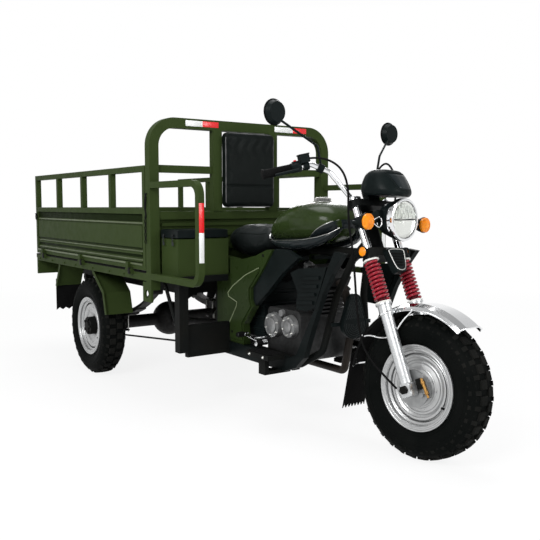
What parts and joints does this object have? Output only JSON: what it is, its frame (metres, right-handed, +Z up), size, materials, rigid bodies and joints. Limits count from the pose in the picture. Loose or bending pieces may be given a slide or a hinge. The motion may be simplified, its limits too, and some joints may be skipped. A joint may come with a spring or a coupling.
{
  "type": "cargo motor tricycle",
  "caption": "Three-wheeled cargo motorcycle with a sprung fork, saddle, tool boxes and a drop-side load box that carries goods over a driven rear axle.",
  "frame": {"origin": "on the floor, under the middle of the machine", "axes": "+X forwards, +Y to the rider's left, +Z up"},
  "size_m": [3.32, 1.152, 1.4263],
  "materials": {
    "green": "satin",
    "black_metal": "satin",
    "black_plastic": "matte",
    "chrome": "polished",
    "alloy": "satin",
    "wheel_silver": "satin",
    "tyre": "matte",
    "rubber": "matte",
    "spring_red": "gloss",
    "amber": "gloss",
    "red_lens": "gloss",
    "glass": "clear",
    "leather": "satin",
    "cast": "rough"
  },
  "bodies": {
    "chassis": {"main_frame": "black_metal", "ladder_chassis": "black_metal", "engine": "alloy", "engine_covers": "alloy", "side_covers": "black_plastic", "exhaust": "black_metal", "fuel_tank": "green", "tank_cap": "chrome", "tank_trims": "black_plastic", "seat": "leather", "body_panels": "green", "leg_guards": "black_plastic", "front_grille": "black_plastic", "footrests": "rubber", "foot_pedals": "chrome", "toolboxes": "green", "step_posts": "black_metal", "cargo_floor": "green", "tail_lamps": "red_lens", "bulkhead_hoop": "green", "bulkhead_panel": "green", "backrest_pad": "leather", "side_guards": "green", "rear_axle": "cast", "leaf_springs": "black_metal", "propeller_shaft": "black_metal", "brake_rods": "black_metal", "rear_mudguards": "green", "rear_flaps": "rubber"},
    "steering": {"fork_clamps": "black_metal", "fork_tubes": "chrome", "fork_springs": "spring_red", "fork_sliders": "alloy", "front_spindle": "chrome", "front_brake": "alloy", "front_mudguard": "chrome", "front_flap": "rubber", "handlebar": "chrome", "hand_controls": "black_plastic", "mirrors": "black_plastic", "headlamp_shell": "black_plastic", "headlamp_lens": "glass", "instrument_cowl": "black_plastic", "indicators": "amber", "horn_cover": "black_plastic", "control_cables": "rubber"},
    "front_wheel": {"front_tyre": "tyre", "front_rim": "wheel_silver"},
    "rear_right_wheel": {"rear_right_tyre": "tyre", "rear_right_rim": "wheel_silver", "rear_right_hub": "cast"},
    "rear_left_wheel": {"rear_left_tyre": "tyre", "rear_left_rim": "wheel_silver", "rear_left_hub": "cast"},
    "right_side": {"side_right": "green"},
    "left_side": {"side_left": "green"},
    "tailgate": {"tailgate": "green"},
    "right_lid": {"lid_right": "black_metal"},
    "left_lid": {"lid_left": "black_metal"}
  },
  "joints": [
    {"name": "steering", "type": "hinge", "parent": "chassis", "child": "steering", "pos_m": [1.34003, 0, 0.26976], "axis": [-0.4067, 0, 0.9135], "range_deg": [-48, 32]},
    {"name": "front_wheel_spin", "type": "hinge", "parent": "steering", "child": "front_wheel", "pos_m": [1.37169, 0.00487, 0.28386], "axis": [-0.1271, 0.9903, -0.0566], "continuous": true},
    {"name": "rear_right_wheel_spin", "type": "hinge", "parent": "chassis", "child": "rear_right_wheel", "pos_m": [-0.783, -0.475, 0.284], "axis": [0, 1, 0], "continuous": true},
    {"name": "rear_left_wheel_spin", "type": "hinge", "parent": "chassis", "child": "rear_left_wheel", "pos_m": [-0.783, 0.475, 0.284], "axis": [0, 1, 0], "continuous": true},
    {"name": "right_side_drop", "type": "hinge", "parent": "chassis", "child": "right_side", "pos_m": [-0.795, -0.567, 0.667], "axis": [1, 0, 0], "range_deg": [0, 180]},
    {"name": "left_side_drop", "type": "hinge", "parent": "chassis", "child": "left_side", "pos_m": [-0.795, 0.567, 0.667], "axis": [-1, 0, 0], "range_deg": [0, 180]},
    {"name": "tailgate_drop", "type": "hinge", "parent": "chassis", "child": "tailgate", "pos_m": [-1.652, 0, 0.667], "axis": [0, -1, 0], "range_deg": [0, 180]},
    {"name": "right_lid_open", "type": "hinge", "parent": "chassis", "child": "right_lid", "pos_m": [0.193, -0.209, 0.833], "axis": [-1, 0, 0], "range_deg": [0, 90]},
    {"name": "left_lid_open", "type": "hinge", "parent": "chassis", "child": "left_lid", "pos_m": [0.193, 0.209, 0.833], "axis": [1, 0, 0], "range_deg": [0, 90]}
  ]
}
